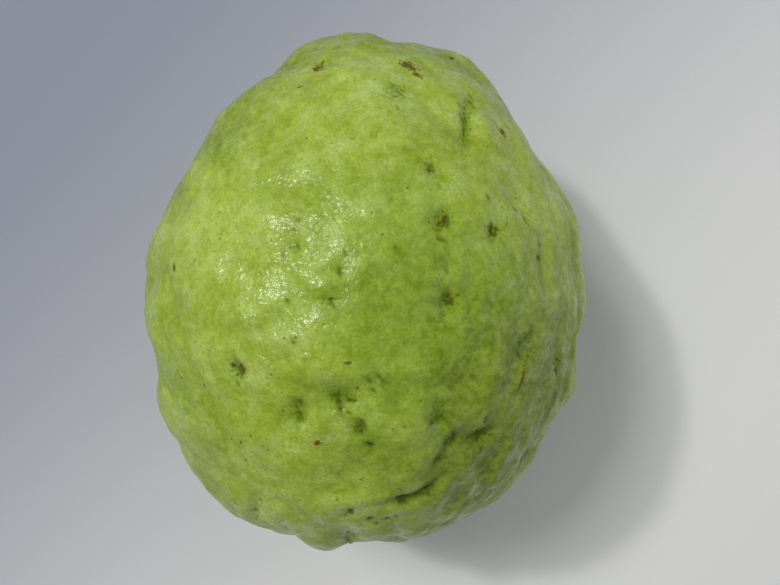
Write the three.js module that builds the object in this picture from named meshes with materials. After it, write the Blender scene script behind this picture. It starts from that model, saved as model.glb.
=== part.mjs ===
// A large knobbly guava, as picked, lying on its side on a small flat spot. Millimetres, +Z up.
// The long axis runs nearly along Y: the stalk end is towards +Y and the blossom end towards -Y.
// The origin is the middle of the flat spot that it rests on.
// Three pieces: the fruit, the cut stub of its stalk, and the dried calyx at the blossom end.

import * as THREE from "three";
import { mergeVertices } from "three/addons/utils/BufferGeometryUtils.js";

// ---- Driving dimensions ----

// The fruit's outline. LONG scales its length; blunt ends are the shares taken off it at either end.
const HALF_WIDE = 46.0;
const HALF_HIGH = 44.5;
const LONG = 62.1;
const BLUNT_STALK = 0.129;
const BLUNT_TIP = 0.046;
// How fast the width falls off: towards the stalk end, towards both ends, and once more at the stalk end.
const TAPER = 0.157;
const SLIM_ENDS = 0.191;
const SLIM_STALK = 0.121;
// The hollow round the stalk and the basin round the calyx: depth and radius.
const STALK_HOLLOW = { deep: 6, wide: 6.8 };
const TIP_HOLLOW = { deep: 6.5, wide: 9.5 };
const HOLLOW_POWER = 3; // 2 is a round bowl; more gives a flatter floor

// How it lies: the slim stalk end dips, and the whole fruit is turned a little about the vertical.
const DIP_DEG = 2;
const TURN_DEG = 3.4;
// Where on the axis the fruit balances, above the flat spot, and how high the axis runs there.
const BALANCE = -5.4;
const AXIS_HEIGHT = 43.6;
const CALM_RADIUS = 17; // the skin has no knobs this near the flat spot

// The faceted surface.
const RINGS = 66;
const SIDES = 88;

// Folds that run from each end over the skin: their place round the axis, how deep they are and how
// far they run from their end.
const fold = (roundDeg, deep = 1.1, reachDeg = 42) => ({ roundDeg, deep, reachDeg });
const STALK_FOLDS = [
  fold(-37), fold(-17), fold(9.5), fold(28), fold(48), fold(74), fold(103, 0.7, 34),
  fold(138, 1.2, 45), fold(170, 0.6, 31), fold(204, 1.1, 40), fold(238, 0.7, 36), fold(268), fold(297),
];
const TIP_FOLDS = [
  fold(-33), fold(1), fold(20), fold(44), fold(76), fold(112, 0.6, 32), fold(150, 1.2, 44),
  fold(186, 0.5, 29), fold(222, 1.0, 38), fold(258, 0.7, 34), fold(292),
];
const FOLD_WIDE = 3;
const FOLD_START = 10; // every fold is whole from this radius on, and fades out towards the axis

// Places on the skin are angles: `down` from the stalk end (0) to the blossom end (180), and `round`
// about the axis from the top of the lying fruit towards +X. Each swelling or dent is long by wide
// (half sizes along and across its own line), turned from the lengthwise direction, and rises or sinks.
const MARKS = [
  // the big swells and flats that give the outline its shape
  { down: 34, round: -50, long: 7, wide: 6, turn: 0, rise: 1.4 },
  { down: 42, round: 59, long: 8, wide: 6, turn: 0, rise: 2.4 },
  { down: 28, round: -23, long: 5, wide: 5, turn: 0, rise: 1.3 },
  { down: 24, round: 9, long: 6, wide: 3.5, turn: 0, rise: -1.5 },
  { down: 52, round: -60, long: 9, wide: 8, turn: 0, rise: -0.9 },
  { down: 79, round: 72, long: 7.5, wide: 8, turn: 0, rise: 1.9 },
  { down: 61, round: 70, long: 6, wide: 7, turn: 0, rise: -0.9 },
  { down: 90, round: -70, long: 8, wide: 8, turn: 0, rise: 0.7 },
  { down: 110, round: -69, long: 5, wide: 8, turn: 0, rise: -1.0 },
  { down: 124, round: -66, long: 9, wide: 8, turn: 0, rise: 0.8 },
  { down: 69, round: -66, long: 8, wide: 8, turn: 0, rise: -0.6 },
  { down: 143, round: -55, long: 8, wide: 9, turn: 0, rise: 1.5 },
  { down: 159, round: -17, long: 5, wide: 6, turn: 0, rise: 0.9 },
  { down: 160, round: 8, long: 4, wide: 5, turn: 0, rise: -0.5 },
  { down: 150, round: 52, long: 8, wide: 8, turn: 0, rise: -0.9 },
  { down: 121, round: 72, long: 4.5, wide: 7, turn: 0, rise: -1.1 },
  { down: 111, round: 73, long: 5, wide: 8, turn: 0, rise: 1.1 },
  // dents on the upper side
  { down: 60, round: 8, long: 3.4, wide: 2.2, turn: -28, rise: -0.7 },
  { down: 65, round: 27.5, long: 6.5, wide: 1.2, turn: -14, rise: -1.1 },
  { down: 60, round: 33, long: 3, wide: 2, turn: -40, rise: -0.6 },
  { down: 51, round: -22, long: 2.8, wide: 1.8, turn: 0, rise: -0.6 },
  { down: 76, round: 15, long: 2.6, wide: 2, turn: 50, rise: -0.6 },
  { down: 84, round: 17, long: 2.2, wide: 1.8, turn: -45, rise: -0.9 },
  { down: 85, round: 29, long: 1.8, wide: 1.6, turn: -40, rise: -0.7 },
  { down: 90, round: 18, long: 2.4, wide: 1.8, turn: -85, rise: -0.4 },
  { down: 96, round: 19, long: 1.9, wide: 1.6, turn: -60, rise: -0.9 },
  { down: 77, round: 39, long: 6, wide: 2, turn: -20, rise: -0.6 },
  { down: 86, round: 44, long: 4.5, wide: 2.4, turn: -10, rise: -0.5 },
  { down: 97, round: -5, long: 2.6, wide: 1.2, turn: -86, rise: -0.7 },
  { down: 89, round: -14, long: 2.7, wide: 1.6, turn: 53, rise: -0.8 },
  { down: 100, round: -14, long: 7, wide: 2.2, turn: -65, rise: -0.7 },
  { down: 92, round: -3, long: 2.6, wide: 1.5, turn: 33, rise: -0.5 },
  { down: 109, round: -25, long: 2, wide: 1.6, turn: -70, rise: -0.9 },
  { down: 112, round: -2, long: 2.4, wide: 1.5, turn: -87, rise: -0.9 },
  { down: 115, round: -11, long: 2.8, wide: 1.3, turn: 0, rise: -1 },
  { down: 117, round: 2, long: 1.7, wide: 1.5, turn: 57, rise: -0.9 },
  { down: 120, round: 5, long: 1.8, wide: 1.5, turn: 0, rise: -0.9 },
  { down: 109, round: 5, long: 2, wide: 1.4, turn: -88, rise: -0.4 },
  { down: 115, round: 20, long: 2.1, wide: 1.6, turn: 15, rise: -0.9 },
  { down: 119, round: 32, long: 2.8, wide: 2.1, turn: -66, rise: -1.6 },
  { down: 121, round: 23, long: 4.6, wide: 1.3, turn: -35, rise: -0.6 },
  { down: 119, round: 24, long: 1.9, wide: 1.2, turn: -60, rise: -0.5 },
  { down: 130, round: 22, long: 3.6, wide: 1.5, turn: -35, rise: -1 },
  { down: 133, round: 14, long: 5.5, wide: 1.3, turn: -75, rise: -0.6 },
  { down: 133, round: 15, long: 2.3, wide: 1.6, turn: -85, rise: -0.5 },
  { down: 103, round: 39, long: 3.4, wide: 1.6, turn: -32, rise: -0.8 },
  { down: 105, round: 53, long: 3.8, wide: 2, turn: 5, rise: -0.7 },
  { down: 125, round: 59, long: 4.5, wide: 2.2, turn: 40, rise: -0.6 },
  { down: 137, round: 0, long: 2.6, wide: 1.6, turn: -80, rise: -0.5 },
  { down: 139, round: 7, long: 3, wide: 2, turn: 40, rise: -0.4 },
  { down: 150, round: 1, long: 3.8, wide: 1.8, turn: -16, rise: -0.4 },
  { down: 140, round: -33, long: 6, wide: 1.2, turn: -36, rise: -0.7 },
  { down: 149, round: -27, long: 6, wide: 1.2, turn: -21, rise: -0.6 },
  { down: 109, round: 22, long: 5, wide: 1.4, turn: -83, rise: -0.4 },
  // knobs and ridges on the upper side
  { down: 67, round: 33, long: 4.4, wide: 3.4, turn: -20, rise: 0.9 },
  { down: 80, round: 26, long: 6.5, wide: 4, turn: -20, rise: 0.6 },
  { down: 108, round: -4, long: 4.6, wide: 2.2, turn: -80, rise: 0.8 },
  { down: 117, round: -7, long: 2.8, wide: 2.2, turn: -72, rise: 0.6 },
  { down: 107, round: -11, long: 3.4, wide: 2.2, turn: -65, rise: 0.5 },
  { down: 93, round: -11, long: 3.6, wide: 1.6, turn: 50, rise: 0.6 },
  { down: 104, round: -20, long: 6, wide: 1.3, turn: -84, rise: 0.4 },
  { down: 56, round: -10, long: 6, wide: 4, turn: 20, rise: 0.8 },
  { down: 48, round: 10, long: 5.2, wide: 3.5, turn: 10, rise: 0.7 },
  { down: 43, round: 24, long: 6, wide: 3.4, turn: -20, rise: 0.7 },
  { down: 88, round: 2, long: 16, wide: 5.7, turn: -34, rise: 0.7 },
  { down: 118, round: 12, long: 5, wide: 4.2, turn: -73, rise: 0.6 },
  { down: 124, round: 18, long: 4.6, wide: 2, turn: -35, rise: 0.5 },
  { down: 132, round: 8, long: 5.5, wide: 2, turn: -80, rise: 0.5 },
  { down: 136, round: -8, long: 5, wide: 3.4, turn: -66, rise: 0.6 },
  { down: 99, round: 27, long: 4, wide: 1.4, turn: 28, rise: 0.3 },
  { down: 101, round: 44, long: 5.2, wide: 1.5, turn: -3, rise: 0.3 },
  { down: 113, round: 41, long: 6, wide: 1.4, turn: -10, rise: 0.3 },
  { down: 128, round: 45, long: 4.4, wide: 1.6, turn: 10, rise: 0.3 },
];

// Knobs and dents over the rest of the skin, spread evenly and sized by a seeded rule. Each may stray
// from its even place by half of `strayDeg`, is up to `stretch` longer than its size, `slim` as wide,
// and rises or sinks by `least` to all of `rise`; within `topDeg` of the top only the share `onTop`.
const KNOBS = {
  count: 230, smallest: 3.6, largest: 7.5, strayDeg: 14, stretch: 0.7, slim: 0.75,
  rise: 1.6, least: 0.35, topDeg: 95, onTop: 0.245,
};

const STALK = { radius: 2.2, foot: 3, length: 3.6, sides: 20, gap: 0.3 };
// The husk's sepals lean out by `lean` of the way up, a share `unevenLean` of it more or less, curl by
// `curl` of its square and sag by `sag` of it. Their backs start `backRoot` and their fronts `frontRoot`
// up. Their heights differ by the shares `oneSided` and `threeSided`, and less than 1 for `pointed`
// broadens their tips. Inside, the bowl's floor lies `bowl` up, with the dried stub of the style in it.
const CALYX = {
  ring: 4.4, height: 5.2, cleft: 2.3, wall: 0.8, thinning: 0.35, sepals: 5, sides: 60, gap: 0.3,
  lean: 0.3, unevenLean: 0.5, curl: 0.05, sag: 0.03, backRoot: 0.15, frontRoot: 0.6, bowl: 0.5,
  pointed: 0.6, oneSided: 0.13, threeSided: 0.1, styleHeight: 1.6, styleRadius: 0.85, styleTaper: 0.8,
};

const FAR = 12; // a mark fades out this far off the skin, so it never reaches the other side
const BARE_END = 4; // no mark reaches nearer the axis than this radius,
const FULL_MARKS = 11; // and from this radius on every mark is whole
const SMALL_STEP = 1e-3;
const deg = THREE.MathUtils.degToRad;

// ---- The fruit ----

const skin = new THREE.MeshStandardMaterial({ color: 0x9db54a, roughness: 0.42, metalness: 0 });

// An even, repeatable number from 0 to 1 for item k; each use has its own salt.
function chance(k, salt) {
  const x = Math.sin(k * 12.9898 + salt * 78.233) * 43758.5453;
  return x - Math.floor(x);
}

// The plain fruit with no knobs or folds: angle `down` and angle `round`, both in radians, to a point.
function plain(down, round) {
  const c = Math.cos(down);
  const slim = Math.sin(down) * (1 - TAPER * c - SLIM_ENDS * c * c - SLIM_STALK * c ** 3);
  const radius = HALF_WIDE * slim;
  const atStalk = c > 0;
  const hollow = atStalk ? STALK_HOLLOW : TIP_HOLLOW;
  const sunk = hollow.deep * Math.exp(-((radius / hollow.wide) ** HOLLOW_POWER));
  const end = LONG * (c - (atStalk ? BLUNT_STALK : BLUNT_TIP) * c ** 3);
  return new THREE.Vector3(
    HALF_WIDE * slim * Math.sin(round),
    end + (atStalk ? -sunk : sunk),
    HALF_HIGH * slim * Math.cos(round),
  );
}

// The plain skin's own directions at a place: lengthwise, roundwise and outwards.
function directions(down, round) {
  const along = plain(down + SMALL_STEP, round).sub(plain(down - SMALL_STEP, round)).normalize();
  const across = plain(down, round + SMALL_STEP).sub(plain(down, round - SMALL_STEP)).normalize();
  return { along, across, out: along.clone().cross(across).normalize() };
}

// A mark made ready: its middle, its own two directions on the skin and outwards.
function placeMark(mark) {
  const down = deg(mark.down);
  const round = deg(mark.round);
  const { along, across, out } = directions(down, round);
  const c = Math.cos(deg(mark.turn));
  const s = Math.sin(deg(mark.turn));
  return {
    ...mark,
    middle: plain(down, round),
    length: along.clone().multiplyScalar(c).addScaledVector(across, s),
    width: across.clone().multiplyScalar(c).addScaledVector(along, -s),
    out,
  };
}

function seededKnobs() {
  const knobs = [];
  const goldenTurn = 180 * (3 - Math.sqrt(5));
  for (let k = 0; k < KNOBS.count; k++) {
    const down = (Math.acos(1 - (2 * (k + 0.5)) / KNOBS.count) * 180) / Math.PI;
    const round = (k * goldenTurn + KNOBS.strayDeg * (chance(k, 1) - 0.5)) % 360;
    const size = KNOBS.smallest + (KNOBS.largest - KNOBS.smallest) * chance(k, 2);
    const upOrDown = chance(k, 3) < 0.5 ? -1 : 1;
    const fromTop = Math.abs(((round + 540) % 360) - 180);
    const share = fromTop < KNOBS.topDeg ? KNOBS.onTop : 1;
    knobs.push({
      down,
      round,
      long: size * (1 + KNOBS.stretch * chance(k, 4)),
      wide: size * KNOBS.slim,
      turn: 180 * chance(k, 5),
      rise: upOrDown * share * KNOBS.rise * (KNOBS.least + (1 - KNOBS.least) * chance(k, 6)),
    });
  }
  return knobs;
}

// A bell curve over each mark, in its own length, width and depth.
function markRelief(marks, point) {
  let rise = 0;
  const off = new THREE.Vector3();
  for (const mark of marks) {
    off.copy(point).sub(mark.middle);
    const l = off.dot(mark.length) / mark.long;
    const w = off.dot(mark.width) / mark.wide;
    const d = off.dot(mark.out) / FAR;
    rise += mark.rise * Math.exp(-(l * l + w * w + d * d));
  }
  return rise;
}

// Narrow valleys that run from an end and die away over the shoulder.
function foldRelief(down, round, radius) {
  const atStalk = down < Math.PI / 2;
  const fromEnd = atStalk ? down : Math.PI - down;
  let sunk = 0;
  for (const { roundDeg, deep, reachDeg } of atStalk ? STALK_FOLDS : TIP_FOLDS) {
    const turn = Math.atan2(Math.sin(round - deg(roundDeg)), Math.cos(round - deg(roundDeg)));
    const reach = Math.exp(-((fromEnd / deg(reachDeg)) ** 4));
    sunk += deep * reach * Math.exp(-(((turn * radius) / FOLD_WIDE) ** 2));
  }
  return -sunk * Math.min(1, radius / FOLD_START);
}

const smooth = (x, low, high) => THREE.MathUtils.smoothstep(x, low, high);

// From the fruit's own axes to the way it lies: dipped, lifted, and pressed flat where it rests.
function layDown(point) {
  const dip = deg(-DIP_DEG);
  const y = point.y * Math.cos(dip) - point.z * Math.sin(dip);
  const z = point.y * Math.sin(dip) + point.z * Math.cos(dip);
  return new THREE.Vector3(point.x, y - BALANCE, z + AXIS_HEIGHT);
}

const marks = [...MARKS, ...seededKnobs()].map(placeMark);

// The finished skin: the plain fruit pushed out or in along its own outward direction.
function skinPoint(down, round) {
  const point = plain(down, round);
  const radius = Math.hypot(point.x, point.z);
  const lying = layDown(point);
  const fromRest = Math.hypot(lying.x, lying.y) / CALM_RADIUS;
  const calm = lying.z < AXIS_HEIGHT ? 1 - Math.exp(-(fromRest ** 4)) : 1;
  const awayFromEnds = smooth(radius, BARE_END, FULL_MARKS);
  const rise = markRelief(marks, point) * awayFromEnds + foldRelief(down, round, radius);
  const out = directions(down, round).out;
  const placed = layDown(point.addScaledVector(out, rise * calm));
  placed.z = Math.max(placed.z, 0);
  return placed;
}

// A closed skin from rings of points between two end points, with its faces pointing outwards.
function closedSkin(first, rings, last) {
  const sides = rings[0].length;
  const points = [first, ...rings.flat(), last];
  const faces = [];
  const at = (ring, side) => 1 + ring * sides + (side % sides);
  for (let side = 0; side < sides; side++) {
    faces.push(0, at(0, side), at(0, side + 1));
    faces.push(points.length - 1, at(rings.length - 1, side + 1), at(rings.length - 1, side));
    for (let ring = 0; ring + 1 < rings.length; ring++) {
      faces.push(at(ring, side), at(ring + 1, side), at(ring + 1, side + 1));
      faces.push(at(ring, side), at(ring + 1, side + 1), at(ring, side + 1));
    }
  }
  const geometry = new THREE.BufferGeometry().setFromPoints(points);
  geometry.setIndex(faces);
  geometry.computeVertexNormals();
  return geometry;
}

function fruitGeometry() {
  const rings = [];
  for (let ring = 1; ring < RINGS; ring++) {
    const down = (Math.PI * ring) / RINGS;
    rings.push(Array.from({ length: SIDES }, (_, side) => skinPoint(down, (2 * Math.PI * side) / SIDES)));
  }
  return closedSkin(skinPoint(0, 0), rings, skinPoint(Math.PI, 0));
}

// ---- The stalk's cut stub ----

const wood = new THREE.MeshStandardMaterial({ color: 0x6b5a3a, roughness: 0.85, metalness: 0 });

// A short woody plug with a swollen foot, along +Y from the floor of the hollow at its end.
function stalkGeometry() {
  const { radius, foot, length, sides, gap } = STALK;
  const floor = plain(0, 0).y + gap;
  const outline = [
    [0, 0],
    [foot * 0.6, 0.12],
    [foot, 0.45],
    [foot * 0.95, 0.9],
    [radius, 1.9],
    [radius * 0.96, length - 0.5],
    [radius * 0.82, length],
    [0, length - 0.25],
  ].map(([r, y]) => new THREE.Vector2(r, y + floor));
  const turned = new THREE.LatheGeometry(outline, sides).deleteAttribute("uv").deleteAttribute("normal");
  return mergeVertices(turned);
}

// ---- The calyx ----

const husk = new THREE.MeshStandardMaterial({ color: 0x7a6a42, roughness: 0.9, metalness: 0 });

// How tall the husk stands at a place round it: five uneven rounded points with clefts between.
function sepalHeight(round) {
  const wave = (1 - Math.abs(Math.sin((CALYX.sepals * round) / 2))) ** CALYX.pointed;
  const uneven = 1 + CALYX.oneSided * Math.sin(round + 1) + CALYX.threeSided * Math.sin(3 * round);
  return CALYX.cleft + (CALYX.height - CALYX.cleft) * wave * uneven;
}

// A point of the husk: `up` is the way along the sepal from its root, `inset` the depth into its wall.
function huskPoint(round, up, inset, floor) {
  const lean = CALYX.lean * (1 + CALYX.unevenLean * Math.sin(2 * round + 1));
  const spread = CALYX.ring + lean * up + CALYX.curl * up * up - inset;
  const rise = up * (1 - CALYX.sag * up) + CALYX.thinning * inset;
  return new THREE.Vector3(spread * Math.sin(round), floor - rise, spread * Math.cos(round));
}

// A cup with a lobed rim: out over its base, up the sepals' backs, over the rim, down inside and up the
// stub in its middle.
function calyxGeometry() {
  const { wall, thinning, sides, gap, backRoot, frontRoot, bowl } = CALYX;
  const { styleHeight, styleRadius, styleTaper } = CALYX;
  const floor = plain(Math.PI, 0).y - gap;
  const around = (place) =>
    Array.from({ length: sides }, (_, side) => place((2 * Math.PI * side) / sides));
  const ring = (radius, rise) =>
    around((a) => new THREE.Vector3(radius * Math.sin(a), floor - rise, radius * Math.cos(a)));
  const backs = [0, 0.2, 0.4, 0.6, 0.8, 0.94, 1].map((share) =>
    around((a) => huskPoint(a, backRoot + (sepalHeight(a) - backRoot) * share, 0, floor)),
  );
  const fronts = [1, 0.8, 0.6, 0.4, 0.2, 0].map((share) =>
    around((a) => {
      const up = frontRoot + (sepalHeight(a) - frontRoot) * share;
      return huskPoint(a, up, wall * (1 - thinning * share), floor);
    }),
  );
  const under = ring(CALYX.ring / 2, backRoot / 3);
  const style = [ring(styleRadius, bowl), ring(styleRadius * styleTaper, styleHeight - backRoot)];
  const rings = [under, ...backs, ...fronts, ring(CALYX.ring / 2, bowl), ...style];
  return closedSkin(new THREE.Vector3(0, floor, 0), rings, new THREE.Vector3(0, floor - styleHeight, 0));
}

// Lays a piece made on the fruit's own axis the way the fruit lies.
function lay(geometry) {
  const place = geometry.getAttribute("position");
  for (let i = 0; i < place.count; i++) {
    const p = layDown(new THREE.Vector3().fromBufferAttribute(place, i));
    place.setXYZ(i, p.x, p.y, p.z);
  }
  geometry.computeVertexNormals();
  return geometry;
}

// ---- The whole guava ----

function piece(name, geometry, material) {
  const mesh = new THREE.Mesh(geometry, material);
  mesh.name = name;
  return mesh;
}

const guava = new THREE.Group();
guava.rotation.z = deg(-TURN_DEG);
guava.add(piece("fruit", fruitGeometry(), skin));
guava.add(piece("stalk", lay(stalkGeometry()), wood));
guava.add(piece("calyx", lay(calyxGeometry()), husk));

export default guava;
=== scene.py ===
"""A large knobbly guava lying on a pale surface: its skin, its cut stalk and its dried calyx."""

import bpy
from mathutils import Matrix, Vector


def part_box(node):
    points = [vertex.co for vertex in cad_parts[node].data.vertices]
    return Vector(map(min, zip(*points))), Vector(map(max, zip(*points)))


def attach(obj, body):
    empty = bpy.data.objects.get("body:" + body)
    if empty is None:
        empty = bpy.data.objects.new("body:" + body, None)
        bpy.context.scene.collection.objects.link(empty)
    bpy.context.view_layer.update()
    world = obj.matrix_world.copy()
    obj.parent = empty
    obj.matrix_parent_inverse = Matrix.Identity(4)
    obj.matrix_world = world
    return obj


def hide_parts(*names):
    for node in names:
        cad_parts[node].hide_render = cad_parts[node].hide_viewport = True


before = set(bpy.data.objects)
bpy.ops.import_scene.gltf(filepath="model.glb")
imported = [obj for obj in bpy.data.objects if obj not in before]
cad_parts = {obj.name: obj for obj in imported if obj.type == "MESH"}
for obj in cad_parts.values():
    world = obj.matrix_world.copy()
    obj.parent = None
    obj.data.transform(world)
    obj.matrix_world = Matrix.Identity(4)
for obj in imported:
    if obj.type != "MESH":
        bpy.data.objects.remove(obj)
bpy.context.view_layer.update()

import bpy
import numpy as np

# ---------------------------------------------------------------------------------------------
# The fruit: one thick-skinned berry, slim at the stalk end and broad at the blossom end. Its skin
# swells between shallow dents, folds run in to the hollow at either end, and it is pressed a little
# flat where it lies. Everything here is in millimetres until the mesh is made.
# ---------------------------------------------------------------------------------------------

MM = 0.001
HALF_WIDE, HALF_HIGH, LONG = 46.0, 44.5, 62.1
BLUNT_STALK, BLUNT_TIP = 0.129, 0.046
TAPER, SLIM_ENDS, SLIM_STALK = 0.157, 0.191, 0.121
STALK_HOLLOW = (6.0, 6.8)  # depth and radius
TIP_HOLLOW = (6.5, 9.5)
HOLLOW_POWER = 3
DIP, TURN = np.radians(2.0), np.radians(3.4)
BALANCE, AXIS_HEIGHT = -5.4, 43.6
CALM_RADIUS = 17.0

# Each fold: its place round the axis (degrees), its depth (mm) and how far over the skin it runs from
# its end (degrees).
STALK_FOLDS = [
    (-37, 1.1, 42), (-17, 1.1, 42), (9.5, 1.1, 42), (28, 1.1, 42), (48, 1.1, 42), (74, 1.1, 42),
    (103, 0.7, 34), (138, 1.2, 45), (170, 0.6, 31), (204, 1.1, 40), (238, 0.7, 36), (268, 1.1, 42),
    (297, 1.1, 42),
]
TIP_FOLDS = [
    (-33, 1.1, 42), (1, 1.1, 42), (20, 1.1, 42), (44, 1.1, 42), (76, 1.1, 42), (112, 0.6, 32),
    (150, 1.2, 44), (186, 0.5, 29), (222, 1.0, 38), (258, 0.7, 34), (292, 1.1, 42),
]
FOLD_WIDE, FOLD_START = 3.0, 10.0
FAINT_TINT = 0.35  # how much of the depth of a fold or a seeded dent counts when the skin is coloured

# Each mark on the skin: angle down from the stalk end, angle round from the top towards +X (degrees),
# half sizes along and across its own line (mm), the turn of that line (degrees) and its rise (mm).
OUTLINE_SWELLS = [
    (34, -50, 7, 6, 0, 1.4), (42, 59, 8, 6, 0, 2.4), (28, -23, 5, 5, 0, 1.3), (24, 9, 6, 3.5, 0, -1.5),
    (52, -60, 9, 8, 0, -0.9), (79, 72, 7.5, 8, 0, 1.9), (61, 70, 6, 7, 0, -0.9), (90, -70, 8, 8, 0, 0.7),
    (110, -69, 5, 8, 0, -1.0), (124, -66, 9, 8, 0, 0.8), (69, -66, 8, 8, 0, -0.6),
    (143, -55, 8, 9, 0, 1.5), (159, -17, 5, 6, 0, 0.9), (160, 8, 4, 5, 0, -0.5), (150, 52, 8, 8, 0, -0.9),
    (121, 72, 4.5, 7, 0, -1.1), (111, 73, 5, 8, 0, 1.1),
]
DENTS = [
    (60, 8, 3.4, 2.2, -28, -0.7), (65, 27.5, 6.5, 1.2, -14, -1.1), (60, 33, 3, 2, -40, -0.6),
    (51, -22, 2.8, 1.8, 0, -0.6), (76, 15, 2.6, 2, 50, -0.6), (84, 17, 2.2, 1.8, -45, -0.9),
    (85, 29, 1.8, 1.6, -40, -0.7), (90, 18, 2.4, 1.8, -85, -0.4), (96, 19, 1.9, 1.6, -60, -0.9),
    (77, 39, 6, 2, -20, -0.6), (86, 44, 4.5, 2.4, -10, -0.5), (97, -5, 2.6, 1.2, -86, -0.7),
    (89, -14, 2.7, 1.6, 53, -0.8), (100, -14, 7, 2.2, -65, -0.7), (92, -3, 2.6, 1.5, 33, -0.5),
    (109, -25, 2, 1.6, -70, -0.9), (112, -2, 2.4, 1.5, -87, -0.9), (115, -11, 2.8, 1.3, 0, -1),
    (117, 2, 1.7, 1.5, 57, -0.9), (120, 5, 1.8, 1.5, 0, -0.9), (109, 5, 2, 1.4, -88, -0.4),
    (115, 20, 2.1, 1.6, 15, -0.9), (119, 32, 2.8, 2.1, -66, -1.6), (121, 23, 4.6, 1.3, -35, -0.6),
    (119, 24, 1.9, 1.2, -60, -0.5), (130, 22, 3.6, 1.5, -35, -1), (133, 14, 5.5, 1.3, -75, -0.6),
    (133, 15, 2.3, 1.6, -85, -0.5), (103, 39, 3.4, 1.6, -32, -0.8), (105, 53, 3.8, 2, 5, -0.7),
    (125, 59, 4.5, 2.2, 40, -0.6), (137, 0, 2.6, 1.6, -80, -0.5), (139, 7, 3, 2, 40, -0.4),
    (150, 1, 3.8, 1.8, -16, -0.4), (140, -33, 6, 1.2, -36, -0.7), (149, -27, 6, 1.2, -21, -0.6),
    (109, 22, 5, 1.4, -83, -0.4),
]
KNOBS_ON_TOP = [
    (67, 33, 4.4, 3.4, -20, 0.9), (80, 26, 6.5, 4, -20, 0.6), (108, -4, 4.6, 2.2, -80, 0.8),
    (117, -7, 2.8, 2.2, -72, 0.6), (107, -11, 3.4, 2.2, -65, 0.5), (93, -11, 3.6, 1.6, 50, 0.6),
    (104, -20, 6, 1.3, -84, 0.4), (56, -10, 6, 4, 20, 0.8), (48, 10, 5.2, 3.5, 10, 0.7),
    (43, 24, 6, 3.4, -20, 0.7), (88, 2, 16, 5.7, -34, 0.7), (118, 12, 5, 4.2, -73, 0.6),
    (124, 18, 4.6, 2, -35, 0.5), (132, 8, 5.5, 2, -80, 0.5), (136, -8, 5, 3.4, -66, 0.6),
    (99, 27, 4, 1.4, 28, 0.3), (101, 44, 5.2, 1.5, -3, 0.3), (113, 41, 6, 1.4, -10, 0.3),
    (128, 45, 4.4, 1.6, 10, 0.3),
]
SEEDED_KNOBS = {"count": 230, "smallest": 3.6, "largest": 7.5, "rise": 1.6, "on_top": 0.245}
DENT_DEPTH = 0.6  # a seeded knob that sinks more than this is a dent
FADE_OFF_SKIN = 12.0

# The finished skin's own finer relief: domed pebbles parted by creases, sharp wrinkles that run
# lengthwise down the side away from the light, and pinholes in the dents.
ROWS, SIDES = 240, 400
COARSE_PEBBLES = {"shortest": 7.0, "longest": 13.0, "count": 70, "seed": 5}
CLOSE_PEBBLES = {"shortest": 2.6, "longest": 4.6, "count": 110, "seed": 8}
WRINKLES = {"shortest": 2.8, "longest": 6.5, "count": 90, "seed": 11}
WRINKLE_STRETCH = 0.3  # a wrinkle is about three times as long as it is wide
COARSE_RISE, CLOSE_RISE, WRINKLE_RISE = 0.34, 0.13, 0.55
SMALL_RIDGES = [(101, -24, 1.8, 5, 8, 0.7), (107, -19, 2, 2.4, 0, 0.5), (95, -31, 1.8, 2.4, 0, 0.5)]
LEAST_WRINKLED = 0.15
WRINKLED = [(114, 42, 34, 22, 0, 0.8), (82, 84, 55, 24, 0, 0.8), (100, 180, 55, 40, 0, 0.4)]
PINHOLES_A_DENT, PINHOLE_WIDE, PINHOLE_DEEP = 5, 0.45, 0.4
# Tone patches, partly the skin's own colour and partly painted light and shade: the green ones darken the
# middle and the side turned from the light, the pale ones lighten the lit shoulders.
GREEN_AND_SHADED_SIDE = [(97, 8, 27, 20, 0, 0.9), (114, 44, 32, 24, 0, 1), (62, -44, 14, 6, 0, 0.5)]
PALE_AND_LIT_SIDE = [
    (72, 38, 21, 18, 0, 0.9), (70, 8, 20, 16, 0, 0.6), (92, -28, 22, 18, 0, 0.6), (107, -12, 7, 6, 0, 0.5),
]
# Olive patches: the skin's own olive tone at the ends, and painted shade on the edges and the lower side.
OLIVE_AND_SHADED_SKIN = [
    (14, 40, 17, 17, 0, 1.0), (172, 0, 9, 9, 0, 0.8), (118, 44, 32, 20, 0, 1.3), (58, -57, 20, 14, 0, 1.2),
    (36, -10, 9, 16, 0, 0.5), (50, 48, 10, 8, 0, 0.6), (84, -72, 20, 11, 0, 0.9),
]
FRECKLED = [(114, -22, 24, 22, 0, 1)]
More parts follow.
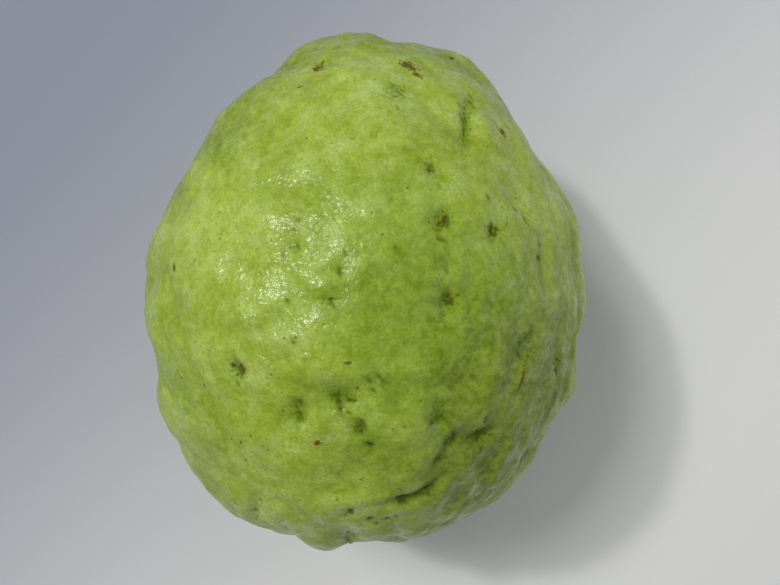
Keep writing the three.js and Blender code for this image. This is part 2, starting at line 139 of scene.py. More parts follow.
# Where the dents hold dark green pits: as the marks above, but the last number is how dark.
PITTED = [
    (112, -3, 1.2, 0.9, -80, 1), (112, 0, 1.1, 0.9, -86, 1), (114, -1.5, 1.1, 0.8, -80, 0.8),
    (119, 32, 2.2, 1.5, -66, 1), (117.5, 31, 0.9, 0.9, 0, 0.7), (84, 17, 1.7, 1.4, -45, 0.95),
    (85, 29, 1.5, 1.2, -40, 0.95), (96, 19, 1.5, 1.3, -60, 0.9), (115, 20, 1.2, 1, 15, 0.8),
    (117, 2, 1.1, 0.9, 57, 0.8), (120, 5, 1.2, 0.9, 0, 0.8), (119, 24, 1.5, 0.7, -60, 0.8),
    (130, 22, 2.3, 0.8, -35, 0.9), (132.5, 16.5, 1.4, 0.8, -85, 0.8), (116, -11, 1, 1, 0, 0.9),
    (76, 15, 1.8, 0.8, 50, 0.55), (105, 40, 2.2, 0.9, -32, 0.7), (97, -5, 1.8, 0.6, -86, 0.7),
    (137, 0, 1.6, 0.6, -80, 0.6), (141, -33, 4, 0.6, -35, 0.6), (149, -27, 4, 0.6, -21, 0.6),
    (65, 27.5, 6, 0.8, -14, 0.75), (60, 8, 2.4, 1.6, -28, 0.6), (109, -25, 1.8, 1.3, -70, 0.6),
    (123, 21, 1.4, 0.8, 28, 0.6), (105, 53, 2, 1.2, 5, 0.6), (125, 59, 2.4, 1.2, 40, 0.6),
]
INSET = 0.12  # the fine skin lies this far under the plain one, so its pebbles stay in the same outline


def plain(down, around):
    """The fruit before any knob: an egg whose half width is sin(down) times a falling-off cubic of
    cos(down), whose ends are blunted by a cubic and sunk by a bell curve of the radius."""
    c = np.cos(down)
    slim = np.sin(down) * (1 - TAPER * c - SLIM_ENDS * c**2 - SLIM_STALK * c**3)
    radius = HALF_WIDE * slim
    at_stalk = c > 0
    deep = np.where(at_stalk, STALK_HOLLOW[0], -TIP_HOLLOW[0])
    wide = np.where(at_stalk, STALK_HOLLOW[1], TIP_HOLLOW[1])
    sunk = deep * np.exp(-((np.abs(radius) / wide) ** HOLLOW_POWER))
    along = LONG * (c - np.where(at_stalk, BLUNT_STALK, BLUNT_TIP) * c**3) - sunk
    return np.stack([radius * np.sin(around), along, HALF_HIGH * slim * np.cos(around)], -1)


def directions(down, around, step=1e-3):
    """Unit vectors lengthwise, roundwise and outwards, from small steps over the plain fruit."""
    along = plain(down + step, around) - plain(down - step, around)
    across = plain(down, around + step) - plain(down, around - step)
    along = along / np.linalg.norm(along, axis=-1, keepdims=True)
    across = across / np.linalg.norm(across, axis=-1, keepdims=True)
    out = np.cross(along, across)
    return along, across, out / np.linalg.norm(out, axis=-1, keepdims=True)


def chance(k, salt):
    """An even, repeatable number from 0 to 1: the fraction of a large multiple of a sine."""
    x = np.sin(k * 12.9898 + salt * 78.233) * 43758.5453
    return x - np.floor(x)


def seeded_knobs(count, smallest, largest, rise, on_top):
    """Marks at the points of a golden spiral from end to end, with seeded sizes, turns and rises."""
    k = np.arange(count)
    down = np.degrees(np.arccos(1 - 2 * (k + 0.5) / count))
    around = (k * 180 * (3 - np.sqrt(5)) + 14 * (chance(k, 1) - 0.5)) % 360
    size = smallest + (largest - smallest) * chance(k, 2)
    share = np.where(np.abs((around + 540) % 360 - 180) < 95, on_top, 1.0)
    height = np.where(chance(k, 3) < 0.5, -1, 1) * share * rise * (0.35 + 0.65 * chance(k, 6))
    long = size * (1 + 0.7 * chance(k, 4))
    return np.stack([down, around, long, size * 0.75, 180 * chance(k, 5), height], -1)


def mark_relief(marks, points):
    """The sum over the marks of rise times a bell curve of the distance in the mark's own length,
    width and depth."""
    total = np.zeros(points.shape[:-1])
    for down, around, long, wide, turn, rise in np.asarray(marks, float):
        place = np.radians([down]), np.radians([around])
        middle = plain(*place)[0]
        along, across, out = (d[0] for d in directions(*place))
        c, s = np.cos(np.radians(turn)), np.sin(np.radians(turn))
        off = points - middle
        bell = (off @ (along * c + across * s) / long) ** 2 + (off @ (across * c - along * s) / wide) ** 2
        total += rise * np.exp(-bell - (off @ out / FADE_OFF_SKIN) ** 2)
    return total


def fold_relief(down, around, radius):
    """Valleys along fixed angles round the axis, bell-shaped across, that start outside the hollow and
    fade by the fourth power of the angle from the nearer end."""
    relief = np.zeros(np.broadcast(down, around).shape)
    for folds, at_end, from_end in (
        (STALK_FOLDS, down < np.pi / 2, down),
        (TIP_FOLDS, down >= np.pi / 2, np.pi - down),
    ):
        start = np.clip(radius / FOLD_START, 0, 1) * at_end
        for place, deep, far in folds:
            turn = np.angle(np.exp(1j * (around - np.radians(place))))
            reach = np.exp(-((from_end / np.radians(far)) ** 4)) * start
            relief -= deep * reach * np.exp(-((turn * radius / FOLD_WIDE) ** 2))
    return relief


def pebbles(points, shortest, longest, count, seed):
    """Domes parted by creases: the size, either way from zero, of a sum of plane waves in seeded
    directions with lengths between two limits. Averages about zero and is about one high."""
    draw = np.random.default_rng(seed)
    heading = draw.normal(size=(count, 3))
    heading /= np.linalg.norm(heading, axis=1, keepdims=True)
    heading *= np.pi / draw.uniform(shortest, longest, (count, 1))
    phase = draw.uniform(0, 2 * np.pi, count)
    total = sum(np.cos(points @ heading[i] + phase[i]) for i in range(count)) * np.sqrt(2 / count)
    return np.sqrt(total**2 + 0.06) - 0.83


def lay_down(points):
    """From the fruit's own axes to the way it lies: dipped about X, lifted, then turned about Z."""
    x, y, z = np.moveaxis(points, -1, 0)
    y, z = y * np.cos(DIP) + z * np.sin(DIP) - BALANCE, z * np.cos(DIP) - y * np.sin(DIP) + AXIS_HEIGHT
    return np.stack([x * np.cos(TURN) + y * np.sin(TURN), y * np.cos(TURN) - x * np.sin(TURN), z], -1)


def smooth(x, low, high):
    """0 below low, 1 above high, and a smooth cubic rise between."""
    t = np.clip((x - low) / (high - low), 0, 1)
    return t * t * (3 - 2 * t)


def pinholes(dents, each, seed):
    """Seeded places round the middle of each dent, as round marks of one small size that sink in."""
    draw = np.random.default_rng(seed)
    down, around, long, wide = (np.repeat(column, each) for column in np.array(dents)[:, :4].T)
    spread = draw.normal(0, 0.55, (2, len(down)))
    degrees_a_mm = 180 / (np.pi * HALF_WIDE)
    down = down + spread[0] * long * degrees_a_mm
    around = around + spread[1] * wide * degrees_a_mm / np.sin(np.radians(down))
    size = PINHOLE_WIDE * draw.uniform(0.8, 1.5, len(down))
    sink = -PINHOLE_DEEP * draw.uniform(0.3, 1.0, len(down))
    return np.stack([down, around, size, size, 0 * down, sink], -1)


def closed_skin(name, first, rings, last, values={}):
    """A closed mesh from rings of points between two end points: a fan at each end and quads between,
    facing outwards, with one number per point for each named value."""
    rows, sides = rings.shape[:2]
    points = np.concatenate([first[None], rings.reshape(-1, 3), last[None]]) * MM
    side = np.arange(sides)
    beside = (side + 1) % sides
    row = 1 + np.arange(rows - 1)[:, None] * sides
    quads = np.stack([row + side, row + sides + side, row + sides + beside, row + beside], -1)
    end = 1 + (rows - 1) * sides
    top = np.stack([0 * side, 1 + side, 1 + beside], -1)
    bottom = np.stack([0 * side + len(points) - 1, end + beside, end + side], -1)
    mesh = bpy.data.meshes.new(name)
    mesh.from_pydata(points, [], quads.reshape(-1, 4).tolist() + top.tolist() + bottom.tolist())
    mesh.polygons.foreach_set("use_smooth", np.ones(len(mesh.polygons), bool))
    for value, grid in values.items():
        numbers = np.concatenate([grid[0, :1], grid.reshape(-1), grid[-1, :1]]).astype(np.float32)
        mesh.attributes.new(value, "FLOAT", "POINT").data.foreach_set("value", numbers)
    obj = bpy.data.objects.new(name, mesh)
    bpy.context.scene.collection.objects.link(obj)
    return obj


def fruit_skin():
    """The plain fruit pushed along its outward direction by all the relief, laid down, and pressed
    flat at the surface it lies on."""
    down = np.linspace(0, np.pi, ROWS + 1)[1:-1, None] + np.zeros((1, SIDES))
    around = np.linspace(0, 2 * np.pi, SIDES, endpoint=False)[None] + np.zeros((ROWS - 1, 1))
    points = plain(down, around)
    radius = np.hypot(points[..., 0], points[..., 2])
    lying = lay_down(points)
    from_rest = np.hypot(lying[..., 0], lying[..., 1]) / CALM_RADIUS
    calm = np.where(lying[..., 2] < AXIS_HEIGHT, 1 - np.exp(-(from_rest**4)), 1.0)
    knobs = seeded_knobs(**SEEDED_KNOBS)
    seeded_dents = knobs[knobs[:, 5] < -DENT_DEPTH]
    large = mark_relief([*OUTLINE_SWELLS, *KNOBS_ON_TOP, *DENTS, *knobs], points)
    off_ends = smooth(radius, 4, 11)
    folds = fold_relief(down, around, radius)
    large = large * off_ends + folds
    patches = {"green_and_shaded": GREEN_AND_SHADED_SIDE, "pale_and_lit": PALE_AND_LIT_SIDE, "olive_and_shaded": OLIVE_AND_SHADED_SKIN, "freckled": FRECKLED}
    patches["pitted"] = PITTED
    tones = {name: np.minimum(mark_relief(marks, points), 1) for name, marks in patches.items()}
    faint = mark_relief(seeded_dents, points) * off_ends + folds
    sunk = mark_relief(DENTS, points) + FAINT_TINT * faint
    coarse, close = pebbles(points, **COARSE_PEBBLES), pebbles(points, **CLOSE_PEBBLES)
    wrinkle = -pebbles(points * (1, WRINKLE_STRETCH, 1), **WRINKLES)
    wrinkle = wrinkle * (LEAST_WRINKLED + np.minimum(mark_relief(WRINKLED, points), 1))
    holes = mark_relief(pinholes([*DENTS, *seeded_dents], PINHOLES_A_DENT, seed=3), points)
    fine = COARSE_RISE * coarse + CLOSE_RISE * close + WRINKLE_RISE * wrinkle + holes
    fine = fine + mark_relief(SMALL_RIDGES, points)
    rise = (large + fine * smooth(radius, 3, 9) - INSET) * calm
    pushed = lay_down(points + directions(down, around)[2] * rise[..., None])
    pushed = np.clip(pushed, *(np.array(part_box("fruit")) / MM))
    middle = lay_down(plain(np.array([0, np.pi]), np.zeros(2)))
    values = {
        # the depth of the skin darkens the dents with painted shade and sets freckles there; the knobs'
        # tops take painted light and the creases painted shade
        "hollow": smooth(-sunk - 0.12 * coarse - 0.15 * wrinkle, 0.15, 1.2),
        "crown_light": smooth(large + 0.3 * coarse + 0.2 * wrinkle, 0.1, 1.3),
        "crease_shade": smooth(-close - 0.5 * coarse - 0.6 * wrinkle, -0.1, 0.8),
        "pinhole": smooth(-holes, 0.06, 0.3),
        **tones,
    }
    return closed_skin("guava_skin", middle[0], pushed, middle[1], values)


fruit = fruit_skin()
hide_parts("fruit")
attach(fruit, "root")

# ---------------------------------------------------------------------------------------------
# The skin's finish: a waxy yellow-green, mottled and finely pebbled, darker green and dotted in the dents,
# with a few brown specks.
# Painted shade darkens the dents, creases and the side turned from the light; painted light and sheen pale
# the knobs' tops and the lit side.
# ---------------------------------------------------------------------------------------------


def place_node(tree, kind, settings=(), inputs=()):
    """Adds a shader node, sets its settings, and gives each named input a number, colour or link."""
    node = tree.nodes.new(kind)
    for name, value in dict(settings).items():
        setattr(node, name, value)
    for name, value in dict(inputs).items():
        socket = node.inputs[name]
        if isinstance(value, bpy.types.NodeSocket):
            tree.links.new(value, socket)
        else:
            socket.default_value = value
    return node


def blend_colours(tree, share, first, second, mode="MIX"):
    """A colour mix, from first to second by share."""
    node = place_node(tree, "ShaderNodeMix", {"data_type": "RGBA", "blend_type": mode})
    for index, value in ((0, share), (6, first), (7, second)):
        if isinstance(value, bpy.types.NodeSocket):
            tree.links.new(value, node.inputs[index])
        else:
            node.inputs[index].default_value = value
    return node.outputs[2]


def ramp_between(tree, value, low, high, start=0.0, end=1.0):
    """A number carried smoothly from start to end as value goes from low to high."""
    settings = {"interpolation_type": "SMOOTHSTEP"}
    limits = {"Value": value, "From Min": low, "From Max": high, "To Min": start, "To Max": end}
    return place_node(tree, "ShaderNodeMapRange", settings, limits).outputs[0]


def math_node(tree, operation, first, second):
    """One step of arithmetic on two numbers or links."""
    node = place_node(tree, "ShaderNodeMath", {"operation": operation})
    for index, value in ((0, first), (1, second)):
        if isinstance(value, bpy.types.NodeSocket):
            tree.links.new(value, node.inputs[index])
        else:
            node.inputs[index].default_value = value
    return node.outputs[0]


def new_group(name, inputs, outputs):
    """An empty shader node group with named inputs and outputs; gives the tree and its two ends."""
    tree = bpy.data.node_groups.new(name, "ShaderNodeTree")
    for label, kind, value in inputs:
        socket = tree.interface.new_socket(label, in_out="INPUT", socket_type=kind)
        socket.default_value = value
    for label, kind in outputs:
        tree.interface.new_socket(label, in_out="OUTPUT", socket_type=kind)
    return tree, tree.nodes.new("NodeGroupInput"), tree.nodes.new("NodeGroupOutput")


def mottling_group():
    """Two colours mixed by cloudy noise of one size with finer noise over it."""
    tree, ask, give = new_group(
        "mottling",
        [
            ("Light", "NodeSocketColor", (1, 1, 1, 1)),
            ("Dark", "NodeSocketColor", (0, 0, 0, 1)),
            ("Scale", "NodeSocketFloat", 100.0),
            ("Contrast", "NodeSocketFloat", 0.2),
        ],
        [("Color", "NodeSocketColor"), ("Mask", "NodeSocketFloat")],
    )
    where = place_node(tree, "ShaderNodeTexCoord").outputs["Object"]
    cloud = place_node(
        tree,
        "ShaderNodeTexNoise",
        inputs={"Vector": where, "Scale": ask.outputs["Scale"], "Detail": 3.0, "Roughness": 0.66},
    ).outputs["Fac"]
    low = math_node(tree, "SUBTRACT", 0.5, ask.outputs["Contrast"])
    high = math_node(tree, "ADD", 0.5, ask.outputs["Contrast"])
    mask = ramp_between(tree, cloud, low, high)
    colour = blend_colours(tree, mask, ask.outputs["Light"], ask.outputs["Dark"])
    tree.links.new(colour, give.inputs["Color"])
    tree.links.new(mask, give.inputs["Mask"])
    return tree


def specks_group():
    """Round dots at seeded cell points: a share of the cells has one, and each has its own size."""
    tree, ask, give = new_group(
        "specks",
        [
            ("Scale", "NodeSocketFloat", 300.0),
            ("Share", "NodeSocketFloat", 0.1),
            ("Size", "NodeSocketFloat", 0.2),
        ],
        [("Mask", "NodeSocketFloat")],
    )
    where = place_node(tree, "ShaderNodeTexCoord").outputs["Object"]
    inputs = {"Vector": where, "Scale": ask.outputs["Scale"]}
    cells = place_node(tree, "ShaderNodeTexVoronoi", inputs=inputs)
    split = place_node(tree, "ShaderNodeSeparateColor", inputs={"Color": cells.outputs["Color"]})
    picked = math_node(tree, "LESS_THAN", split.outputs[0], ask.outputs["Share"])
    share_of_size = ramp_between(tree, split.outputs[1], 0, 1, 0.5, 1.2)
    size = math_node(tree, "MULTIPLY", ask.outputs["Size"], share_of_size)
    inside = math_node(tree, "SUBTRACT", size, cells.outputs["Distance"])
    soft = math_node(tree, "MULTIPLY", ask.outputs["Size"], 0.8)
    dot = math_node(tree, "DIVIDE", inside, soft)
    dot.node.use_clamp = True
    tree.links.new(math_node(tree, "MULTIPLY", dot, picked), give.inputs["Mask"])
    return tree


MOTTLING = mottling_group()
SPECKS = specks_group()


def place_group(tree, group, **values):
    """Places a node group in a material with its own values."""
    inputs = {name.capitalize(): value for name, value in values.items()}
    return place_node(tree, "ShaderNodeGroup", {"node_tree": group}, inputs)


def attribute(tree, name):
    """A number carried by the mesh's points."""
    return place_node(tree, "ShaderNodeAttribute", {"attribute_name": name}).outputs["Fac"]


def new_material(name, **numbers):
    """A material with one Principled shader; numbers are set on the shader's own sockets."""
    material = bpy.data.materials.new(name)
    material.use_nodes = True
    shader = material.node_tree.nodes["Principled BSDF"]
    for socket, value in numbers.items():
        shader.inputs[socket.replace("_", " ")].default_value = value
    return material, material.node_tree, shader


def scab_group():
    """A ragged oval patch: its mask falls off with the offset from its middle, measured along three
    scaled directions and roughened by a number that changes over the skin."""
    vector, number = "NodeSocketVector", "NodeSocketFloat"
    wanted = [("Middle", vector, (0, 0, 0)), ("Long", vector, (1, 0, 0)), ("Wide", vector, (0, 1, 0))]
    wanted += [("Deep", vector, (0, 0, 1)), ("Rough", number, 0.0), ("Ragged", number, 0.5)]
    tree, ask, give = new_group("scab", wanted, [("Mask", "NodeSocketFloat")])
    where = place_node(tree, "ShaderNodeTexCoord").outputs["Object"]
    off = place_node(tree, "ShaderNodeVectorMath", {"operation": "SUBTRACT"})
    tree.links.new(where, off.inputs[0])
    tree.links.new(ask.outputs["Middle"], off.inputs[1])
    total = 0.0
    for name in ("Long", "Wide", "Deep"):
        part = place_node(tree, "ShaderNodeVectorMath", {"operation": "DOT_PRODUCT"})
        tree.links.new(off.outputs[0], part.inputs[0])
        tree.links.new(ask.outputs[name], part.inputs[1])
        total = math_node(tree, "ADD", total, math_node(tree, "POWER", part.outputs["Value"], 2.0))
    push = math_node(tree, "MULTIPLY", ask.outputs["Rough"], ask.outputs["Ragged"])
    reach = math_node(tree, "ADD", math_node(tree, "SQRT", total, 0.0), push)
    tree.links.new(ramp_between(tree, reach, 0.3, 1.15, 1.0, 0.0), give.inputs["Mask"])
    return tree


SCAB = scab_group()
# Where the skin is scarred: down, round (degrees), half sizes (mm), turn (degrees) and how ragged.
SCABS = [
    (51, 12.5, 2.3, 1.7, 52, 2.6), (53.5, 15.5, 1.6, 1.0, 20, 3.0), (41, 43, 1.5, 0.8, -41, 1.8),
    (65, 41, 1.7, 1.3, -30, 2.4), (93, -45, 1.1, 0.6, 30, 1.0), (51.5, -23, 1.4, 0.9, 25, 2.0),
    (49.5, -22.5, 1.8, 0.4, 0, 1.6), (59, -23, 1.1, 0.35, -67, 1.0),
    (108, 39.5, 3.2, 0.3, -5, 0.8), (108, -26, 0.7, 0.6, 0, 1.4),
    (109, -24, 1.3, 1.0, 0, 3.2), (108, -24, 0.5, 0.4, 0, 1.0), (120, -7, 0.9, 0.7, 0, 3.0),
    (106, -1, 0.9, 0.45, -80, 2.5), (112, -35, 0.6, 0.4, 0, 0.8), (122, -27, 0.5, 0.4, 0, 0.8),
    (120, -23, 0.4, 0.35, 0, 0.8),
]


def scab_mask(tree, rough, down, around, long, wide, turn, ragged):
    """One scab at its place on the fruit, with its directions worked out from the skin's."""
    place = np.radians([down]), np.radians([around])
    middle = lay_down(plain(*place)[0])
    along, across, out = (lay_down(plain(*place)[0] + d[0]) - middle for d in directions(*place))
    c, s = np.cos(np.radians(turn)), np.sin(np.radians(turn))
    return place_group(
        tree,
        SCAB,
        middle=middle * MM,
        long=(along * c + across * s) / (long * MM),
        wide=(across * c - along * s) / (wide * MM),
        deep=out / (4 * MM),
        rough=rough,
        ragged=ragged,
    ).outputs["Mask"]


SKIN_GRAIN, WAX_GRAIN = 0.08, 0.16  # how deep the grain counts in the skin and in the wax (mm)


def skin_material():
    """Yellow-green cloud over mid green; darker with painted shade and freckled where the skin sinks and
    in its creases, lighter with painted light on its knobs, with patches of painted light and shade over
    the skin's own tones, brown specks and scabs, under a thin wax coat with a fine grain that glints."""
    light, mid, green = (0.50, 0.63, 0.18, 1), (0.305, 0.425, 0.04, 1), (0.22, 0.355, 0.0, 1)
    pale_lit_tone, brownish = (0.51, 0.62, 0.33, 1), (0.165, 0.195, 0.025, 1)
    # sunk: the tint of the painted shade in the dents
    darker, sunk = (0.71, 0.75, 0.10, 1), (0.47, 0.60, 0.04, 1)
    deep, dot = (0.155, 0.24, 0.0, 1), (0.052, 0.058, 0.002, 1)
    pale, bloom_sheen_tone = (0.60, 0.72, 0.14, 1), (0.61, 0.70, 0.38, 1)
    brown, rust, scar = (0.10, 0.055, 0.004, 1), (0.21, 0.19, 0.006, 1), (0.055, 0.036, 0.005, 1)
    material, tree, shader = new_material(
        "guava_skin_wax",
        IOR=1.40,
        Specular_IOR_Level=0.3,
        Coat_Roughness=0.21,
        Coat_IOR=1.42,
        Sheen_Weight=0.035,
        Sheen_Roughness=0.35,
        Sheen_Tint=(0.86, 0.92, 0.85, 1),
    )
    hollow, crown_light, crease_shade, pinhole, green_and_shaded, pale_and_lit, olive_and_shaded, freckled = (
        attribute(tree, name)
        for name in ("hollow", "crown_light", "crease_shade", "pinhole", "green_and_shaded", "pale_and_lit", "olive_and_shaded", "freckled")
    )
    pitted = attribute(tree, "pitted")
    cloud, middling, bloom, close, fine, finest = (
        place_group(tree, MOTTLING, scale=scale, contrast=contrast).outputs["Mask"]
        for scale, contrast in (
            (48.0, 0.14), (120.0, 0.16), (190.0, 0.14), (290.0, 0.17), (750.0, 0.18), (1900.0, 0.18)
        )
    )
    where = place_node(tree, "ShaderNodeTexCoord").outputs["Object"]

    def noise_between(scale, detail, roughness=0.5):
        """Cloudy noise from 0 to 1, as many waves to a metre as its scale."""
        inputs = {"Vector": where, "Scale": scale, "Detail": detail, "Roughness": roughness}
        return place_node(tree, "ShaderNodeTexNoise", inputs=inputs).outputs["Fac"]

    def stains(scale, detail, sink, low, high):
        """Patches where noise, helped by the depth of the skin, passes from one limit to another."""
        depth = math_node(tree, "MULTIPLY", hollow, sink)
        over = math_node(tree, "ADD", noise_between(scale, detail, 0.55), depth)
        return ramp_between(tree, over, low, high)

    share = ramp_between(tree, freckled, 0, 1, 0.12, 0.6)
    specks = place_group(tree, SPECKS, scale=500.0, share=share, size=0.15).outputs["Mask"]
    speck_tone = blend_colours(tree, freckled, dot, brown)
    rough = math_node(tree, "SUBTRACT", noise_between(1500.0, 2.0), 0.5)
    scabs = 0.0
    for scab in SCABS:
        scabs = math_node(tree, "MAXIMUM", scabs, scab_mask(tree, rough, *scab))
    pits = math_node(tree, "ADD", pitted, math_node(tree, "MULTIPLY", rough, 2.4))
    dark = [
        (ramp_between(tree, pits, 0.0, 0.8), 0.7, deep),
        (ramp_between(tree, pits, 0.52, 0.95), 0.8, dot),
        (stains(330.0, 4.0, 0.27, 0.62, 0.90), 0.65, deep),
        (stains(950.0, 2.0, 0.26, 0.72, 0.90), 0.6, dot),
        (pinhole, 0.7, dot),
        (specks, 0.75, speck_tone),
        (ramp_between(tree, scabs, 0.0, 0.7), 0.6, rust),
        (ramp_between(tree, scabs, 0.25, 1.3), 0.9, scar),
    ]
    # the pale bloom, partly the skin's own and partly painted sheen, kept off the green patches
    bloom_and_sheen = math_node(tree, "MULTIPLY", bloom, ramp_between(tree, green_and_shaded, 0, 1, 1.0, 0.25))
    colour = light
    for mask, strength, tint, mode in [
        (cloud, 0.85, mid, "MIX"),
        # painted light and sheen with the skin's own paler tone: lighter on the lit shoulders
        (pale_and_lit, 0.5, pale_lit_tone, "MIX"),
        # painted shade with the skin's own green: darker in the middle and on the side turned from the
        # light
        (green_and_shaded, 0.8, green, "MIX"),
        # painted shade with the skin's own olive: darker at the edges and the lower side
        (olive_and_shaded, 0.6, brownish, "MIX"),
        # painted light: the knobs' tops are lightened
        (crown_light, 0.4, light, "MIX"),
        (bloom_and_sheen, 0.34, bloom_sheen_tone, "MIX"),
        (middling, 0.8, darker, "MULTIPLY"),
        (close, 0.65, darker, "MULTIPLY"),
        # painted shade: the creases between pebbles and wrinkles are darkened
        (crease_shade, 0.5, darker, "MULTIPLY"),
        (fine, 0.3, pale, "MIX"),
        (finest, 0.7, darker, "MULTIPLY"),
        # painted shade: the skin is darkened where it sinks, in the dents and folds
        (hollow, 0.55, sunk, "MULTIPLY"),
        *((mask, strength, tint, "MIX") for mask, strength, tint in dark),
    ]:
        colour = blend_colours(tree, math_node(tree, "MULTIPLY", mask, strength), colour, tint, mode)
    tree.links.new(colour, shader.inputs["Base Color"])
    stained = 0.0
    for mask, strength, _ in dark:
        stained = math_node(tree, "MAXIMUM", stained, math_node(tree, "MULTIPLY", mask, strength))
    tree.links.new(ramp_between(tree, stained, 0.1, 0.7, 0.5, 0.9), shader.inputs["Roughness"])
    wax = ramp_between(tree, noise_between(330.0, 2.0), 0.42, 0.68, 0.22, 1.0)
    wax = math_node(tree, "MULTIPLY", wax, ramp_between(tree, stained, 0.1, 0.7, 1.0, 0.1))
    tree.links.new(wax, shader.inputs["Coat Weight"])
    domes = place_node(tree, "ShaderNodeTexVoronoi", inputs={"Vector": where, "Scale": 1150.0})
    domes = math_node(tree, "MULTIPLY", math_node(tree, "POWER", domes.outputs["Distance"], 2.0), 0.7)
    grain = math_node(tree, "MULTIPLY", noise_between(2600.0, 1.0), 0.5)
    ripple = math_node(tree, "MULTIPLY", noise_between(420.0, 2.0), 1.5)
    grain = math_node(tree, "ADD", math_node(tree, "ADD", domes, grain), ripple)
    for socket, height in (("Normal", SKIN_GRAIN), ("Coat Normal", WAX_GRAIN)):
        inputs = {"Height": grain, "Strength": 1.0, "Distance": height * MM}
        bump = place_node(tree, "ShaderNodeBump", {"invert": True}, inputs)
        tree.links.new(bump.outputs[0], shader.inputs[socket])
    return material


fruit.data.materials.append(skin_material())

# ---------------------------------------------------------------------------------------------
# The stalk: a short woody stub, cut across, with a swollen foot that sits in the hollow of the
# stalk end.
# ---------------------------------------------------------------------------------------------

STALK_LENGTH, GAP, BARK_GRAIN = 3.6, 0.3, 0.2


def stalk_stub():
    """A profile turned about the axis, with fine bark ridges that fade out on the cut face."""
    reach = np.array([1.8, 2.6, 3.0, 2.98, 2.85, 2.45, 2.22, 2.15, 2.13, 2.11, 2.1, 2.0, 1.8, 1.2, 0.6])
    height = np.array([0.12, 0.2, 0.45, 0.7, 0.9, 1.4, 1.9, 2.3, 2.7, 3.0, 3.25, 3.45, 3.55, 3.45, 3.4])
    given = np.arange(len(reach))
    steps = np.linspace(0, given[-1], 57)
    reach = np.interp(steps, given, reach)[:, None]
    height = np.interp(steps, given, height)[:, None]
    around = np.linspace(0, -2 * np.pi, 96, endpoint=False)[None]
    bark = 0.05 * np.cos(11 * around + 0.8 * height) + 0.035 * np.cos(23 * around - 1.3 * height)
    reach = reach + (bark - 0.08) * smooth(reach, 1.0, 2.2)
    floor = plain(np.array(0.0), 0.0)[1] + GAP
    rings = np.stack([reach * np.sin(around), floor + height + 0 * around, reach * np.cos(around)], -1)
    first, last = np.array([0, floor, 0]), np.array([0, floor + STALK_LENGTH - 0.25, 0])
    cut = smooth(height, 3.4, 3.55) * np.ones_like(around)
    return closed_skin("stalk_stub", lay_down(first), lay_down(rings), lay_down(last), {"cut": cut})


def wood_material():
    """Grey-brown bark with streaks, and a paler cut face."""
    material, tree, shader = new_material("stalk_bark", Roughness=0.85)
    light, dark, bare = (0.23, 0.19, 0.09, 1), (0.09, 0.075, 0.035, 1), (0.36, 0.32, 0.17, 1)
    streaks = place_group(tree, MOTTLING, light=light, dark=dark, scale=700.0, contrast=0.2)
    colour = blend_colours(tree, attribute(tree, "cut"), streaks.outputs["Color"], bare)
    tree.links.new(colour, shader.inputs["Base Color"])
    inputs = {"Height": streaks.outputs["Mask"], "Strength": 0.6, "Distance": BARK_GRAIN * MM}
    bump = place_node(tree, "ShaderNodeBump", inputs=inputs)
    tree.links.new(bump.outputs[0], shader.inputs["Normal"])
    return material


stalk = stalk_stub()
stalk.data.materials.append(wood_material())
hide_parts("stalk")
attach(stalk, "root")

# ---------------------------------------------------------------------------------------------
# The calyx: the dried husk of the flower, a shallow cup that stands in the basin of the blossom end
# and splits into five uneven sepals, thin and brown at their tips.
# ---------------------------------------------------------------------------------------------

CALYX_RING, CALYX_HEIGHT, CALYX_CLEFT, CALYX_WALL, SEPALS = 4.4, 5.2, 2.3, 0.8, 5
BOWL_FLOOR, HUSK_GRAIN = 0.5, 0.2
# From the rim of the bowl's floor to the tip of the style: the reach from the axis and the height.
BOWL_REACH = [3.0, 2.2, 1.4, 0.9, 0.75, 0.7, 0.62, 0.4]
BOWL_RISE = [0.45, 0.425, 0.4, 0.55, 0.833, 1.117, 1.4, 1.5]


def sepal_height(around):
    """How tall the husk stands: a peak at the middle of each sepal and a cleft between, uneven."""
    wave = (1 - np.abs(np.sin(SEPALS * around / 2))) ** 0.6
    uneven = 1 + 0.13 * np.sin(around + 1) + 0.1 * np.sin(3 * around)
    return CALYX_CLEFT + (CALYX_HEIGHT - CALYX_CLEFT) * wave * uneven


def husk_point(around, up, inset):
    """A point of the husk, up along the sepal and inset into its wall; the sepals lean outwards, some
    more than others."""
    lean = 0.3 * (1 + 0.5 * np.sin(2 * around + 1))
    spread = CALYX_RING + lean * up + 0.05 * up**2 - inset
    rise = up * (1 - 0.03 * up) + 0.35 * inset
    floor = plain(np.array(np.pi), 0.0)[1] - GAP
    return np.stack([spread * np.sin(around), floor - rise, spread * np.cos(around)], -1)


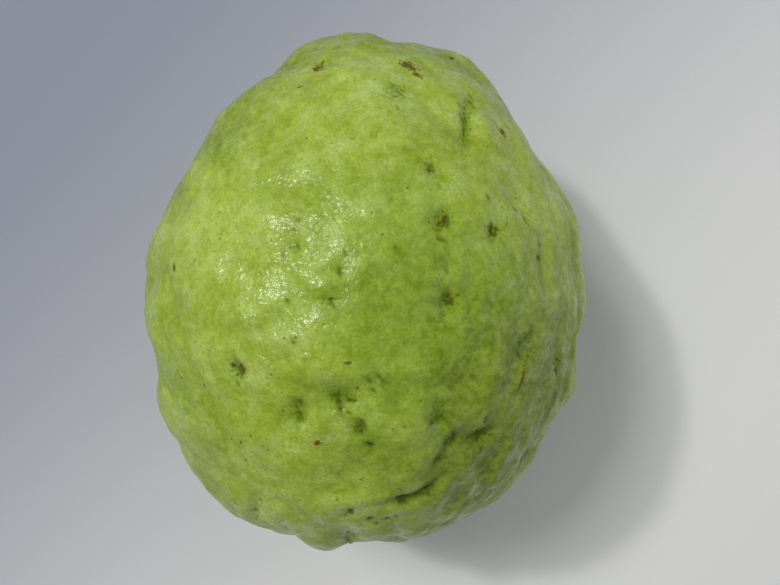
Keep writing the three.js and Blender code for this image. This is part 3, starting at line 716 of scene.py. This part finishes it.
def calyx_husk():
    """A cup with a lobed rim: over its base, up the sepals' backs, over the rim and down inside to the
    stub of the flower's style, with lengthwise ribs and a thin edge."""
    around = np.linspace(0, 2 * np.pi, 300, endpoint=False)[None]
    tall = sepal_height(around)
    outer = np.linspace(0, 1, 22)[:, None]
    inner = outer[::-1]
    ribs = 0.05 * np.cos(40 * around) + 0.04 * np.cos(67 * around + 1)
    backs = husk_point(around, 0.15 + (tall - 0.15) * outer, 0.1 + ribs * outer)
    low = BOWL_FLOOR + 0.1
    fronts = husk_point(around, low + (tall - low) * inner, CALYX_WALL * (1 - 0.45 * inner) + ribs * inner)
    base = backs[:1] * np.array([0.5, 1, 0.5])
    floor = plain(np.array(np.pi), 0.0)[1] - GAP
    reach = np.array(BOWL_REACH)[:, None] * (1 + 0.08 * np.cos(7 * around))
    rise = np.array(BOWL_RISE)[:, None] + 0.05 * np.cos(3 * around)
    bowl = np.stack([reach * np.sin(around), floor - rise, reach * np.cos(around)], -1)
    rings = np.concatenate([base, backs, fronts, bowl])
    first, last = rings[0].mean(0), rings[-1].mean(0)
    none, full = np.zeros((1, 1)), np.ones((len(bowl), 1))
    tip = np.concatenate([none, outer, inner, 0 * full])
    inside = np.concatenate([none, 0 * outer, smooth(1 - inner, 0.05, 0.75), full])
    values = {"tip": tip + 0 * around, "inside": inside + 0 * around}
    return closed_skin("calyx_husk", lay_down(first), lay_down(rings), lay_down(last), values)


def husk_material():
    """Dull green-brown at the root, drying to dark brown at the tips, and nearly black inside the cup, its
    own dark colour deepened with painted shade.
    """
    material, tree, shader = new_material("dry_husk", Roughness=0.9)
    light, dark = (0.27, 0.23, 0.09, 1), (0.12, 0.10, 0.04, 1)
    dry, dark_and_shaded_inside = (0.08, 0.05, 0.022, 1), (0.018, 0.012, 0.007, 1)
    cloud = place_group(tree, MOTTLING, light=light, dark=dark, scale=450.0, contrast=0.2)
    at_tip = ramp_between(tree, attribute(tree, "tip"), 0.3, 1.0, 0.0, 0.8)
    # painted shade, with the husk's own dark colour, inside the cup
    within = ramp_between(tree, attribute(tree, "inside"), 0.0, 1.0, 0.0, 0.9)
    colour = blend_colours(tree, at_tip, cloud.outputs["Color"], dry)
    tree.links.new(blend_colours(tree, within, colour, dark_and_shaded_inside), shader.inputs["Base Color"])
    inputs = {"Height": cloud.outputs["Mask"], "Strength": 0.5, "Distance": HUSK_GRAIN * MM}
    bump = place_node(tree, "ShaderNodeBump", inputs=inputs)
    tree.links.new(bump.outputs[0], shader.inputs["Normal"])
    return material


calyx = calyx_husk()
calyx.data.materials.append(husk_material())
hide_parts("calyx")
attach(calyx, "root")

# ---------------------------------------------------------------------------------------------
# The setting: a pale floor with painted shade darkening it towards one corner, a soft key lamp high on the
# left with a small one beside it for glints, weak broad lamps all round for windows and walls, and the
# camera looking straight down.
# ---------------------------------------------------------------------------------------------

CAMERA_AT = (0.0053, 0.0008, 0.190)
LENS_MM = 30.0


def pale_floor():
    """A surface under the fruit with painted light and shade: grey at one corner, paling towards the
    other;
    the share of the paler tone rises smoothly with the distance along the slope."""
    painted_shade_grey, white = (0.25, 0.265, 0.34, 1), (0.83, 0.83, 0.815, 1)
    bpy.ops.mesh.primitive_plane_add(size=6.0)
    floor = bpy.context.object
    floor.name = "floor"
    material, tree, shader = new_material("pale_paper", Roughness=0.8)
    where = place_node(tree, "ShaderNodeTexCoord").outputs["Object"]
    settings, inputs = {"operation": "DOT_PRODUCT"}, {0: where, 1: (0.7, -0.7, 0)}
    slope = place_node(tree, "ShaderNodeVectorMath", settings, inputs)
    # painted light and shade: the floor darkens to grey towards one corner
    share = ramp_between(tree, slope.outputs["Value"], -0.13, 0.11)
    tree.links.new(blend_colours(tree, share, painted_shade_grey, white), shader.inputs["Base Color"])
    floor.data.materials.append(material)
    return floor


def lamp(name, towards, distance, size, watts, colour=(1, 1, 1)):
    """A square area lamp that faces the origin from a direction."""
    direction = np.array(towards, float) / np.linalg.norm(towards)
    data = bpy.data.lights.new(name, "AREA")
    data.size, data.energy, data.color = size, watts, colour
    obj = bpy.data.objects.new(name, data)
    obj.location = direction * distance
    obj.rotation_euler = obj.location.to_track_quat("Z", "Y").to_euler()
    bpy.context.scene.collection.objects.link(obj)


pale_floor()
lamp("key_lamp", (-0.53, 0.42, 1.0), 0.9, 0.24, 3.25, (1.0, 0.99, 0.96))
lamp("glint_lamp", (-0.64, 0.42, 1.0), 0.9, 0.05, 1.8)
lamp("far_window", (0.0, 0.7, 1.0), 1.2, 0.6, 0.5)
lamp("left_window", (-0.8, 0.0, 1.0), 1.2, 0.6, 0.3)
lamp("far_right_wall", (0.8, 0.7, 0.8), 1.2, 0.8, 0.85)
lamp("right_wall", (1.0, 0.1, 0.45), 1.2, 0.8, 0.55)
lamp("near_right_wall", (0.75, -0.6, 0.8), 1.2, 0.8, 0.4)
lamp("low_right_wall", (1.0, 0.0, 0.12), 1.2, 0.7, 1.8)

world = bpy.data.worlds.new("studio")
world.use_nodes = True
world.node_tree.nodes["Background"].inputs["Color"].default_value = (0.92, 0.96, 1.0, 1)
world.node_tree.nodes["Background"].inputs["Strength"].default_value = 0.22
bpy.context.scene.world = world
bpy.context.scene.view_settings.view_transform = "Standard"

camera = bpy.data.objects.new("camera", bpy.data.cameras.new("camera"))
camera.data.lens = LENS_MM
camera.location = CAMERA_AT
camera.data.clip_start = 0.01
bpy.context.scene.collection.objects.link(camera)
bpy.context.scene.camera = camera
